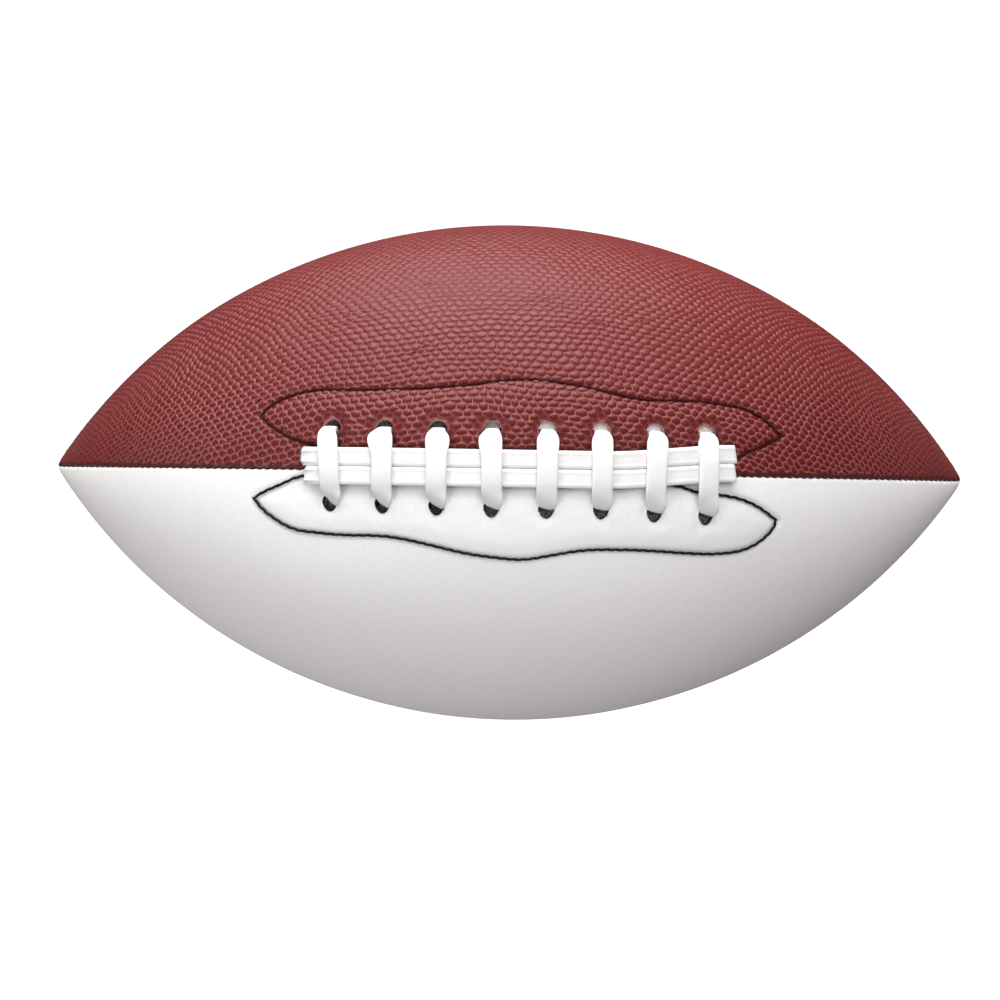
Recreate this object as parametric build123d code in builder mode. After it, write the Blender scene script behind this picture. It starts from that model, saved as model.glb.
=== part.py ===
from build123d import *
import os
from math import acos, asin, cos, degrees, radians, sin, sqrt

# An American football that is sewn from four lens-shaped cover panels. Each panel carries a foam lining,
# an air bladder fills the inside, and a lace closes the slot where the bladder went in.
# The long axis is X, the lacing faces -Y, the brown panels are on top and the white ones below.
# All sizes are in millimetres. A depth is measured inwards from the outer surface of the cover.

# Ball
ball_length = 254.0
ball_diameter = 139.4
tip_allowance = 0.95

# Cover panels and what backs them
cover_thickness = 1.8
flange_thickness = 1.6
seam_roll_width = 1.6
seam_roll_depth = 1.4
seam_roll_lift = 0.05
layer_clearance = 0.1
bladder_clearance = 0.3
bladder_wall = 1.0
seam_thread_diameter = 0.8
seam_thread_clearance = 0.05
seam_end_share = 0.93

# Lacing: rungs across the slot, two long laces under them
rung_count = 8
rung_pitch = 14.9
lacing_shift = 2.6
lacing_rise = 0.9
lace_width = 5.6
lace_thickness = 1.3
lace_bend_radius = 1.5
lace_tail_length = 5.0
lace_leg_width = 4.0
lace_leg_spread = 19.6
lace_pinch_height = 1.0
lace_hole_diameter = 5.0
lace_hole_spread = 20.8
long_lace_length = 119.0
long_lace_width = 5.0
long_lace_thickness = 1.5
long_lace_gap = 0.2
long_lace_edge_radius = 0.4
long_lace_seat = 0.3
rung_seat = 0.15

# Slot, facings that back the lace holes, and the tongue that shields the bladder
slot_length = 112.0
slot_width = 2.0
facing_length = 141.0
upper_facing_height = 25.2
lower_facing_height = 23.6
facing_thickness = 1.0
facing_margin = 1.6
facing_slit_clearance = 0.3
facing_corner_radius = 2.0
tongue_thickness = 1.0

# Stitching of the facings, a thread that lies in a shallow groove
stitch_width = 0.9
stitch_depth = 0.5
stitch_proud = 0.2
stitch_clearance = 0.05

# Valve in the upper back panel
valve_boss_diameter = 10.0
valve_base_diameter = 22.0
valve_base_thickness = 1.4
valve_recess = 0.4
valve_clearance = 0.1
plug_diameter = 5.6
plug_length = 7.0
plug_recess = 0.6
plug_clearance = 0.02
needle_diameter = 2.1
needle_guide_diameter = 3.6
needle_guide_angle = 90
needle_passage_diameter = 3.0

# Length by which a cutting shape runs past what it cuts
overrun = 2.0

# Outer edges of the two facings, from the left tip to the right one:
# shares of half the facing's length, and of its height
upper_edge_shares = (
    (-0.99, 0.53), (-0.90, 0.77), (-0.82, 0.84), (-0.57, 0.865), (-0.31, 0.90), (-0.08, 0.98), (0.04, 1.0),
    (0.22, 0.94), (0.44, 0.82), (0.66, 0.80), (0.86, 0.73), (0.94, 0.61), (1.0, 0.43),
)
lower_edge_shares = (
    (-1.0, 0.34), (-0.94, 0.58), (-0.87, 0.69), (-0.66, 0.755), (-0.48, 0.77), (-0.20, 0.94), (0.01, 1.0),
    (0.25, 0.885), (0.40, 0.87), (0.66, 0.90), (0.77, 0.90), (0.88, 0.84), (0.95, 0.70), (0.99, 0.52),
)
facing_inner_end_share = 0.82

# Meridian: one circular arc from tip to tip, a little longer because the seam rolls blunt the tips
half_length = ball_length / 2 + tip_allowance
max_radius = ball_diameter / 2
arc_radius = (half_length**2 + max_radius**2) / (2 * max_radius)
arc_offset = arc_radius - max_radius

# Depths of the layers under the cover, from the outside in
layer_top = cover_thickness + layer_clearance
facing_bottom = layer_top + facing_thickness
lace_run_top = facing_bottom + layer_clearance
lace_run_bottom = lace_run_top + lace_thickness
tongue_top = lace_run_bottom + layer_clearance
lining_bottom = tongue_top + tongue_thickness
bladder_top = lining_bottom + bladder_clearance
bladder_bottom = bladder_top + bladder_wall
valve_base_top = bladder_bottom + valve_clearance
valve_base_bottom = valve_base_top + valve_base_thickness

# Lengths across the ball that cutting shapes use
reach = ball_diameter / 2 + overrun
relief_length = facing_length + 2 * (facing_margin + layer_clearance)

# The lacing lies on the front meridian, so its pieces turn about the centre line of that arc
lacing_axis = Axis((0, arc_offset, 0), (0, 0, 1))
shift_angle = degrees(lacing_shift / arc_radius)
pitch_angle = degrees(rung_pitch / arc_radius)
rung_angles = [shift_angle + pitch_angle * (i - (rung_count - 1) / 2) for i in range(rung_count)]

quadrant_angles = {"upper_back": 0, "upper_front": 90, "lower_front": 180, "lower_back": 270}

os.makedirs("parts", exist_ok=True)


def write_piece(part, name):
    """Names a finished piece and writes its file."""
    part.label = name
    export_step(part, f"parts/{name}.step")


def lens_arc(depth):
    """The meridian at a depth, drawn in the line that is open."""
    end = sqrt((arc_radius - depth) ** 2 - arc_offset**2)
    return ThreePointArc((-end, 0), (0, max_radius - depth), (end, 0))


def lens_layer(outer_depth, inner_depth, turn=90):
    """The ball's material between two depths, turned about the long axis from +Y towards +Z."""
    with BuildPart() as layer:
        with BuildSketch():
            with BuildLine():
                outer = lens_arc(outer_depth)
                inner = lens_arc(inner_depth)
                Line(outer @ 0, inner @ 0)
                Line(outer @ 1, inner @ 1)
            make_face()
        revolve(axis=Axis.X, revolution_arc=turn)
    return layer.part


def front_layer(outer_depth, inner_depth):
    """The front half of the ball's material between two depths."""
    return lens_layer(outer_depth, inner_depth, turn=180).rotate(Axis.X, 90)


def quadrant_block(inset):
    """The quarter of space of one panel, kept clear of the seams by an inset."""
    with BuildPart() as block:
        with Locations((0, inset, inset)):
            Box(ball_length, reach, reach, align=(Align.CENTER, Align.MIN, Align.MIN))
    return block.part


def meridian_plane(angle, rise=0):
    """Plane across the front meridian: its x points up, its y points out of the ball."""
    turn = radians(angle)
    origin = (arc_radius * sin(turn), arc_offset - arc_radius * cos(turn), rise)
    return Plane(origin=origin, x_dir=(0, 0, 1), z_dir=(cos(turn), sin(turn), 0))


def tangent_plane(angle, rise=0):
    """Plane that lies on the front meridian: its x points up, its normal points out of the ball."""
    turn = radians(angle)
    origin = (arc_radius * sin(turn), arc_offset - arc_radius * cos(turn), rise)
    return Plane(origin=origin, x_dir=(0, 0, 1), z_dir=(sin(turn), -cos(turn), 0))


def seam_thread(start, turn, clearance):
    """A round thread, or its groove, that follows the front seam between two angles."""
    with BuildPart() as thread:
        with BuildSketch(meridian_plane(start)):
            with Locations((0, -seam_thread_depth)):
                Circle(seam_thread_diameter / 2 + clearance)
        revolve(axis=lacing_axis, revolution_arc=turn)
    return thread.part


def edge_points(edge_shares, height, side):
    """Points of a facing's outer edge in the front view, for the upper side (1) or the lower one (-1)."""
    half = facing_length / 2
    return [(lacing_shift + along * half, side * height * up) for along, up in edge_shares]


def facing_outline(points, side):
    """The stitched outline of a facing, flat: its wavy edge, two returns and a run along the slot."""
    inner_half = facing_inner_end_share * facing_length / 2
    inner_rise = side * (slot_width / 2 + facing_margin)
    left = (lacing_shift - inner_half, inner_rise)
    right = (lacing_shift + inner_half, inner_rise)
    with BuildSketch() as outline:
        with BuildLine():
            FilletPolyline(*points, right, left, radius=facing_corner_radius, close=True)
        make_face()
    return outline.sketch


def tongue_outline(upper_points, lower_points):
    """One flat outline round both facings and the slot between them."""
    with BuildSketch() as outline:
        with BuildLine():
            FilletPolyline(*upper_points, *reversed(lower_points), radius=facing_corner_radius, close=True)
        make_face()
    return outline.sketch


def front_piece(outline, margin, layer):
    """The part of a layer behind an outline of the front view, widened by a margin."""
    with BuildPart() as piece:
        with BuildSketch(Plane.XZ):
            add(outline)
            offset(amount=margin)
        extrude(amount=reach)
        add(layer, mode=Mode.INTERSECT)
    return piece.part


def front_band(outline, width, layer):
    """The part of a layer behind a band that follows an outline of the front view."""
    with BuildPart() as band:
        with BuildSketch(Plane.XZ):
            add(outline)
            offset(amount=width / 2)
            offset(outline, amount=-width / 2, mode=Mode.SUBTRACT)
        extrude(amount=reach)
        add(layer, mode=Mode.INTERSECT)
    return band.part


def valve_cylinder(diameter, layer):
    """A layer's disc round the valve axis."""
    with BuildPart() as disc:
        with BuildSketch(valve_plane):
            Circle(diameter / 2)
        extrude(amount=reach)
        add(layer, mode=Mode.INTERSECT)
    return disc.part


# Seam rolls and seam threads, made on the front seam and turned to the others
seam_thread_depth = (cover_thickness + lining_bottom) / 2
seam_path_radius = arc_radius - seam_thread_depth
seam_end_angle = seam_end_share * degrees(acos(arc_offset / seam_path_radius))
tip_angle = degrees(acos(arc_offset / arc_radius))

with BuildPart() as seam_roll:
    with BuildSketch(meridian_plane(-tip_angle)):
        with BuildLine():
            crest = overrun
            left_foot = (-seam_roll_width, seam_roll_lift)
            right_foot = (seam_roll_width, seam_roll_lift)
            crease = (0, -seam_roll_depth)
            Polyline(left_foot, (-seam_roll_width, crest), (seam_roll_width, crest), right_foot)
            RadiusArc(left_foot, crease, seam_roll_width + seam_roll_depth)
            RadiusArc(crease, right_foot, seam_roll_width + seam_roll_depth)
        make_face()
    revolve(axis=lacing_axis, revolution_arc=2 * tip_angle)

seam_groove = seam_thread(-seam_end_angle, 2 * seam_end_angle, seam_thread_clearance)
full_thread = seam_thread(-seam_end_angle, 2 * seam_end_angle, 0)

# One panel and one lining, made in the upper back quarter
panel_layer = lens_layer(0, lining_bottom)
pocket_layer = lens_layer(cover_thickness, lining_bottom + overrun)
flange_block = quadrant_block(flange_thickness)

with BuildPart() as pocket:
    add(pocket_layer)
    add(flange_block, mode=Mode.INTERSECT)

with BuildPart() as panel_blank:
    add(panel_layer)
    add(pocket.part, mode=Mode.SUBTRACT)
    for seam_turn in (180, 270):
        add(seam_roll.part.rotate(Axis.X, seam_turn), mode=Mode.SUBTRACT)
        add(seam_groove.rotate(Axis.X, seam_turn), mode=Mode.SUBTRACT)

lining_layer = lens_layer(layer_top, lining_bottom)
lining_block = quadrant_block(flange_thickness + layer_clearance)

with BuildPart() as lining_blank:
    add(lining_layer)
    add(lining_block, mode=Mode.INTERSECT)

# Lace holes and slot
with BuildPart() as lace_holes:
    for rung_angle in rung_angles:
        with BuildSketch(tangent_plane(rung_angle, lacing_rise)):
            with Locations((lace_hole_spread / 2, 0), (-lace_hole_spread / 2, 0)):
                Circle(lace_hole_diameter / 2)
    extrude(amount=lining_bottom + overrun, both=True)

with BuildPart() as facing_slits:
    for rung_angle in rung_angles:
        with BuildSketch(tangent_plane(rung_angle, lacing_rise)):
            with Locations((lace_leg_spread / 2, 0), (-lace_leg_spread / 2, 0)):
                slit_height = lace_thickness + 2 * facing_slit_clearance
                Rectangle(slit_height, lace_leg_width + 2 * facing_slit_clearance)
    extrude(amount=lining_bottom + overrun, both=True)

with BuildPart() as slot:
    with BuildSketch(Plane.XZ):
        with Locations((lacing_shift, 0)):
            SlotOverall(slot_length, slot_width)
    extrude(amount=reach)

relief_layer = front_layer(cover_thickness, lining_bottom + overrun)

with BuildPart() as flange_relief:
    with Locations((lacing_shift, 0, 0)):
        Box(relief_length, reach, 2 * flange_thickness, align=(Align.CENTER, Align.MAX, Align.CENTER))
    add(relief_layer, mode=Mode.INTERSECT)

# Facings, their stitches, and the tongue
upper_points = edge_points(upper_edge_shares, upper_facing_height, 1)
lower_points = edge_points(lower_edge_shares, lower_facing_height, -1)
whole_outline = tongue_outline(upper_points, lower_points)
outlines = {"upper": facing_outline(upper_points, 1), "lower": facing_outline(lower_points, -1)}

facing_layer = front_layer(layer_top, facing_bottom)
tongue_layer = front_layer(tongue_top, lining_bottom)
stitch_layer = front_layer(-stitch_proud, stitch_depth)
groove_layer = front_layer(-overrun, stitch_depth + stitch_clearance)
lining_cut = front_piece(whole_outline, facing_margin + layer_clearance, relief_layer)
tongue = front_piece(whole_outline, facing_margin, tongue_layer)
write_piece(tongue, "lace_tongue")

stitch_grooves = {}
for side, outline in outlines.items():
    patch = front_piece(outline, facing_margin, facing_layer)
    stitch = front_band(outline, stitch_width, stitch_layer)
    stitch_grooves[side] = front_band(outline, stitch_width + 2 * stitch_clearance, groove_layer)
    with BuildPart() as facing:
        add(patch)
        add(facing_slits.part, mode=Mode.SUBTRACT)
    write_piece(facing.part, f"lace_facing_{side}")
    write_piece(stitch, f"facing_stitch_{side}")

# Valve
valve_plane = Plane(origin=(0, 0, 0), x_dir=(1, 0, 0), z_dir=(0, 1, 1))
plug_top = max_radius - plug_recess
plug_seat = plug_top - plug_length - plug_clearance
boss_hole = valve_boss_diameter + 2 * valve_clearance
valve_hole = valve_cylinder(boss_hole, lens_layer(-overrun, bladder_bottom + overrun))
valve_base = valve_cylinder(valve_base_diameter, lens_layer(valve_base_top, valve_base_bottom))
valve_boss = valve_cylinder(valve_boss_diameter, lens_layer(valve_recess, valve_base_bottom))

with BuildPart() as valve_body:
    add(valve_base)
    add(valve_boss)
    with BuildSketch(valve_plane.offset(plug_seat)):
        Circle(plug_diameter / 2 + plug_clearance)
    extrude(amount=reach, mode=Mode.SUBTRACT)
    with BuildSketch(valve_plane):
        Circle(needle_passage_diameter / 2)
    extrude(amount=reach, mode=Mode.SUBTRACT)
write_piece(valve_body.part, "valve_body")

with BuildPart() as valve_plug:
    with BuildSketch(valve_plane.offset(plug_top)):
        Circle(plug_diameter / 2)
    extrude(amount=-plug_length)
    with Locations(valve_plane.offset(plug_top)):
        CounterSinkHole(needle_diameter / 2, needle_guide_diameter / 2, counter_sink_angle=needle_guide_angle)
write_piece(valve_plug.part, "valve_plug")

# Bladder, moulded in an upper half with the valve and a lower half
bladder_half = lens_layer(bladder_top, bladder_bottom, turn=180)

with BuildPart() as bladder:
    add(bladder_half)
    add(valve_hole, mode=Mode.SUBTRACT)
    add(bladder_half.rotate(Axis.X, 180))
write_piece(bladder.part, "bladder")

# The four panels and their linings
for quarter, angle in quadrant_angles.items():
    with BuildPart() as panel:
        add(panel_blank.part.rotate(Axis.X, angle))
        if quarter.endswith("front"):
            side = quarter.removesuffix("_front")
            for cut in (flange_relief.part, slot.part, lace_holes.part, stitch_grooves[side]):
                add(cut, mode=Mode.SUBTRACT)
        if quarter == "upper_back":
            add(valve_hole, mode=Mode.SUBTRACT)
    write_piece(panel.part, f"cover_panel_{quarter}")

    with BuildPart() as lining:
        add(lining_blank.part.rotate(Axis.X, angle))
        if quarter.endswith("front"):
            add(lining_cut, mode=Mode.SUBTRACT)
        if quarter == "upper_back":
            add(valve_hole, mode=Mode.SUBTRACT)
    write_piece(lining.part, f"lining_{quarter}")

# Seam threads; the front one stops on both sides of the facings
for seam, angle in {"bottom": 90, "back": 180, "top": 270}.items():
    write_piece(full_thread.rotate(Axis.X, angle), f"seam_thread_{seam}")

relief_left = lacing_shift - relief_length / 2 - layer_clearance
relief_right = lacing_shift + relief_length / 2 + layer_clearance
left_stop = degrees(asin(relief_left / seam_path_radius))
right_stop = degrees(asin(relief_right / seam_path_radius))
write_piece(seam_thread(-seam_end_angle, left_stop + seam_end_angle, 0), "seam_thread_front_left")
write_piece(seam_thread(right_stop, seam_end_angle - right_stop, 0), "seam_thread_front_right")

# Long laces
long_lace_angle = degrees(long_lace_length / arc_radius)
long_lace_start = shift_angle - long_lace_angle / 2

with BuildPart() as long_lace_upper:
    with BuildSketch(meridian_plane(long_lace_start, lacing_rise)):
        with Locations((long_lace_gap / 2, long_lace_seat)):
            RectangleRounded(
                long_lace_width,
                long_lace_thickness,
                long_lace_edge_radius,
                align=(Align.MIN, Align.MIN),
            )
    revolve(axis=lacing_axis, revolution_arc=long_lace_angle)
write_piece(long_lace_upper.part, "long_lace_upper")

with BuildPart() as long_lace_lower:
    add(long_lace_upper.part)
    mirror(about=Plane.XY.offset(lacing_rise), mode=Mode.REPLACE)
write_piece(long_lace_lower.part, "long_lace_lower")

# Cross lace: a rung over each pair of holes, and runs under the facings that join them
leg_spread = lace_leg_spread / 2
rung_top = long_lace_seat + long_lace_thickness + rung_seat + lace_thickness / 2
shoulder_spread = long_lace_gap / 2 + long_lace_width + long_lace_edge_radius
run_reach = leg_spread + lace_thickness / 2
half_leg = lace_leg_width / 2
run_radius = arc_radius - (lace_run_top + lace_run_bottom) / 2
run_layer = front_layer(lace_run_top, lace_run_bottom)


def leg_foot(side):
    """Height of the foot of a rung's leg, under the crest of the ball."""
    height = lacing_rise + side * leg_spread
    return sqrt(max_radius**2 - height**2) - max_radius - lace_run_bottom


with BuildPart() as rung:
    with BuildSketch(meridian_plane(0, lacing_rise)):
        with BuildLine() as rung_line:
            FilletPolyline(
                (-leg_spread, leg_foot(-1)),
                (-leg_spread, long_lace_seat),
                (-shoulder_spread, rung_top),
                (shoulder_spread, rung_top),
                (leg_spread, long_lace_seat),
                (leg_spread, leg_foot(1)),
                radius=lace_bend_radius,
            )
        trace(rung_line.line, line_width=lace_thickness)
    extrude(amount=lace_width / 2, both=True)
    with BuildSketch(Plane(origin=(0, -max_radius, lacing_rise), x_dir=(1, 0, 0), z_dir=(0, 0, 1))):
        with BuildLine():
            Polyline(
                (half_leg, reach),
                (half_leg, 0),
                (lace_width / 2, -lace_pinch_height),
                (lace_width, -lace_pinch_height),
                (lace_width, reach),
                close=True,
            )
        make_face()
        mirror(about=Plane.YZ)
    extrude(amount=run_reach + overrun, both=True, mode=Mode.SUBTRACT)

lace_columns = [run_radius * sin(radians(rung_angle)) for rung_angle in rung_angles]
tail_reach = run_reach + lace_tail_length

with BuildPart() as lace_runs:
    with BuildSketch(Plane.XZ):
        for start_x, end_x in zip(lace_columns, lace_columns[1:]):
            with BuildLine():
                Polyline(
                    (start_x - half_leg, lacing_rise + run_reach),
                    (start_x + half_leg, lacing_rise + run_reach),
                    (end_x + half_leg, lacing_rise - run_reach),
                    (end_x - half_leg, lacing_rise - run_reach),
                    close=True,
                )
            make_face()
        for column, side in ((lace_columns[0], -1), (lace_columns[-1], 1)):
            tail_middle = side * (leg_spread + tail_reach) / 2
            with Locations((column, lacing_rise + tail_middle)):
                Rectangle(lace_leg_width, tail_reach - leg_spread)
    extrude(amount=reach)
    add(run_layer, mode=Mode.INTERSECT)

with BuildPart() as cross_lace:
    add(lace_runs.part)
    for rung_angle in rung_angles:
        add(rung.part.rotate(lacing_axis, rung_angle))
write_piece(cross_lace.part, "cross_lace")
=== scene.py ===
from math import asin, atan2, cos, exp, hypot, pi, radians, sin, sqrt
from random import Random

import bmesh
import bpy
from bpy.props import FloatProperty, FloatVectorProperty, IntProperty, PointerProperty
from bpy.types import Operator, Panel, PropertyGroup
from mathutils import Matrix, Vector, kdtree, noise
from mathutils.geometry import interpolate_bezier


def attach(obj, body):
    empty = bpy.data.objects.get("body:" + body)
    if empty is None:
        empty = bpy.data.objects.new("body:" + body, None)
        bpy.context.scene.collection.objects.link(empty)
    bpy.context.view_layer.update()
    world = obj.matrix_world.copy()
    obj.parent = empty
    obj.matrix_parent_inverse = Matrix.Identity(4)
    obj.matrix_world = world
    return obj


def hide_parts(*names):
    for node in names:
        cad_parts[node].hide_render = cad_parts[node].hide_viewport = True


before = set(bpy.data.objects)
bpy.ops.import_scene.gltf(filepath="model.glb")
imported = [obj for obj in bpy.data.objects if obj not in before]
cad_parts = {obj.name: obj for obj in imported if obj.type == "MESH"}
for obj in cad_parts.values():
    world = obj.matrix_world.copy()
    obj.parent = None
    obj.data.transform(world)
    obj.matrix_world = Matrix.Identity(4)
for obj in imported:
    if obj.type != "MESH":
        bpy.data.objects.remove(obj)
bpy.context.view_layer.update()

bl_info = {
    "name": "American Football",
    "version": (1, 0, 0),
    "blender": (4, 5, 0),
    "location": "View3D > Sidebar > Football",
    "description": "Dresses the solids of a football with pebbled covers, lacing and stitching",
    "category": "Object",
}

# Where the middle of each cover panel lies, turned about the long axis from +Y towards +Z
panel_turns = {"upper_back": 45, "upper_front": 135, "lower_front": 225, "lower_back": 315}

# Stitched outlines, out along the wavy edge and back by the slot: shares of half length and of height
upper_outline_shares = (
    (-1.0, 0.567), (-0.97, 0.66), (-0.90, 0.77), (-0.82, 0.84), (-0.70, 0.86), (-0.57, 0.865),
    (-0.31, 0.90), (-0.20, 0.93), (-0.08, 0.98), (0.01, 1.0), (0.10, 0.99), (0.22, 0.94), (0.34, 0.875),
    (0.44, 0.815), (0.55, 0.80), (0.66, 0.80), (0.76, 0.775), (0.86, 0.73), (0.94, 0.62), (1.012, 0.44),
    (0.945, 0.335), (0.874, 0.255), (0.83, 0.175), (0.78, 0.11), (0.70, 0.10), (0.0, 0.10),
    (-0.60, 0.10), (-0.68, 0.13), (-0.74, 0.21), (-0.81, 0.27), (-0.88, 0.33), (-0.945, 0.43),
)
lower_outline_shares = (
    (-1.022, 0.345), (-0.995, 0.45), (-0.945, 0.57), (-0.87, 0.69), (-0.77, 0.735), (-0.66, 0.755),
    (-0.56, 0.755), (-0.48, 0.77), (-0.34, 0.85), (-0.20, 0.94), (-0.08, 0.985), (0.02, 1.0),
    (0.13, 0.945), (0.25, 0.885), (0.40, 0.87), (0.53, 0.88), (0.66, 0.90), (0.77, 0.90), (0.88, 0.84),
    (0.955, 0.70), (1.003, 0.521), (0.93, 0.365), (0.867, 0.28), (0.78, 0.225), (0.69, 0.205),
    (0.63, 0.145), (0.56, 0.11), (0.45, 0.105), (0.0, 0.105), (-0.60, 0.105), (-0.74, 0.085),
    (-0.84, 0.09), (-0.92, 0.19), (-0.98, 0.27),
)
sharp_turn = radians(50)
outline_steps = 24

# Stitches of the facings: how deep the thread lies in its groove and how thick it shows there
stitch_shares = {"upper": (0.85, 0.88), "lower": (0.35, 0.78)}
stitch_slant_share = 0.12
stitch_length_share = 1.45
stitch_sides = 8
stitch_rings = 6

# Rolled edge of a cover along a seam: shares of the roll's width left to the seam, and of its depth
roll_shares = ((0.70, 0.06), (0.42, 0.24), (0.20, 0.55), (0.07, 1.0), (0.05, 2.2))
seam_cuts = 3

# Lace holes: shares of the cover's thickness down their walls, and how sharply a drawn-out end narrows
hole_wall_shares = (0.12, 0.4, 1.05)
hole_point_power = 5

# Rows of pebbles: their zigzag, the ripples that grow towards the tips, and how the cells shrink there
zigzag_parts = 6
second_noise = Vector((9.3, -4.7, 2.1))
ripple_scale = 2.7
ripple_share = 0.3
tip_ripple_share = 1.4
tip_shrink_share = 0.2
row_shrink_share = 0.42
widest_turn = radians(80)

# Relief of the pebbles: the smallest cell that gets one, and how worn they are at the tips and the top
least_pebble_share = 0.85
worn_tip_share = 0.85
worn_tip_start = 0.085
worn_top_share = 0.45
worn_top_start = 0.03

# Tones kept on a cover: worn pebbles, pebbles round a hole, painted shadow along the laces' dents, and
# painted shade in the stitch grooves
worn_tone_share = 0.7
rim_tone_share = 0.5
# Painted shadow along the long laces and on the right of the rungs
press_shadow_share = 0.9
# Painted shade in the stitch grooves
groove_shade_share = 0.65

# Section of a lace: how square it is, and how fast its ribs fade towards its edges
lace_squareness = 0.45
rib_fade_power = 4

# Long laces: how far each left end is cut back, as a share of half the width, and how the ends are shaped
strap_cut_shares = {"upper": 0.0, "lower": 0.4}
strap_tip_share = 0.25
strap_slant_share = 0.17
strap_turn = Matrix(((0, 0, 1), (0, 1, 0), (1, 0, 0))).to_4x4()
strap_rib_count = 3
strap_segments = 64
strap_steps = 150
fray_count = 3.5
fray_step_count = 2.2

# Each rung from the left: lean, flare of its upper end, turn of its lower end, and that end's reach
rung_lean_shares = (-0.14, 0.0, 0.0, -0.02, 0.02, 0.0, 0.04, 0.0)
rung_left_flare_shares = (0.0, 0.24, 0.06, 0.14, 0.04, 0.04, 0.02, 0.06)
rung_right_flare_shares = (0.0, 0.0, 0.12, 0.0, 0.04, 0.0, 0.04, 0.0)
rung_turn_shares = (1.0, 0.95, 0.8, 0.6, 0.35, 0.3, 0.45, 0.5)
rung_reach_shares = (-0.055, -0.03, 0.0, 0.03, 0.035, 0.03, 0.09, 0.15)

# All rungs: where the flare and the turn begin and end, how upright they stand, and their steps
flare_start_share = 0.2
flare_end_share = 0.75
lower_turn = radians(32)
lower_turn_start = 0.6
lower_slide_share = 0.1
shoulder_share = 0.35
upright_share = 0.8
leg_swell_share = 0.4
rung_rib_count = 7
rung_segments = 56
leg_steps = 14
crest_steps = 12
run_steps = 8

# Grain of the finishes
grain_size = 0.0011
fine_grain_size = 0.00035
blotch_size = 0.03
fibre_size = 0.0004
weave_size = 0.0007
grain_relief = 0.00004
fibre_relief = 0.00008
weave_relief = 0.0002
noise_middle = 0.5

# Pebbled leather: heights between which its valleys lose their painted highlight, then its tones and
# shine
pale_foot = 0.016
pale_top = 0.038
crown_band = (0.1, 0.74)
crown_blotch_share = 0.2
speck_band = (0.55, 0.8)
speck_share = 0.12
brown_roughness = 0.44
crown_polish = 0.04
speck_roughness = 0.2
brown_shine = 0.4

# Smooth covers: tones, relief and shine
hollow_band = (0.45, 1.1)
hollow_blotch_share = 0.6
hollow_share = 0.35
hollow_roughness = 0.2
cover_speck_share = 0.4
cover_relief_share = 0.5
cover_roughness = 0.46
cover_shine = 0.35

# Laces and thread: tones, relief and shine
lace_rib_turns = 44.0
lace_hollow_band = (-1.0, 0.2)
lace_hollow_share = 0.05
lace_fibre_band = (0.5, 0.8)
lace_fibre_share = 0.2
rib_relief_share = 0.15
fibre_relief_share = 0.5
lace_relief_share = 0.4
lace_roughness = 0.5
lace_shine = 0.3
fleck_band = (0.55, 0.75)
thread_roughness = 0.7
thread_shine = 0.12
fibre_roughness = 0.2

# Facing fabric: where it turns pale, as shares of half its length, how pale it gets, and how speckled
facing_fade_shares = {"upper": (-1 / 6, 1 / 8), "lower": (-1 / 4, 0)}
facing_pale_shares = {"upper": 0.8, "lower": 0.03}
facing_speckle_shares = {"upper": 0.3, "lower": 0.12}
dark_speckle_share = 0.08
speckle_band = (0.55, 1.0)
weave_share = 0.6
facing_roughness = 0.85
facing_fibre_roughness = 0.1

# Rubber, foam, felt and seam thread
grain_band = (0.35, 0.65)
grain_dark_share = 0.7
grain_roughness = 0.15
bladder_roughness = 0.45
valve_roughness = 0.4
soft_roughness = 0.8
seam_roughness = 0.6

# Stage: camera sensor, floor, and the sizes and places of the lights
sensor_width = 36.0
ambient_tint = (1, 0.92, 0.9, 1)
floor_radius = 4.0
floor_segments = 64
floor_roughness = 0.9
floor_glow = 1.0
floor_pale = (0.9, 0.9, 0.9, 1)
floor_white = (1, 1, 1, 1)
backdrop_height = 4.0
top_light_size = 1.2
top_light_place = (-0.13, -0.35, 1.1)
front_light_size = 1.4
front_light_place = (0.5, -1.4, 0.75)
fill_light_size = 0.7
fill_light_place = (-0.9, -0.8, -0.7)
back_light_size = 1.0
back_light_place = (0.5, 1.5, 0.25)


def length(name, description, default):
    """A length that a user may change."""
    return FloatProperty(name=name, description=description, default=default, unit="LENGTH", precision=5)


def angle(name, description, default):
    """An angle that a user may change."""
    return FloatProperty(name=name, description=description, default=default, subtype="ANGLE")


def power(name, description, default):
    """A light's power that a user may change."""
    return FloatProperty(name=name, description=description, default=default, unit="POWER")


def colour(name, description, default):
    """A colour that a user may change."""
    return FloatVectorProperty(
        name=name, description=description, default=default, subtype="COLOR", size=4
    )


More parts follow.
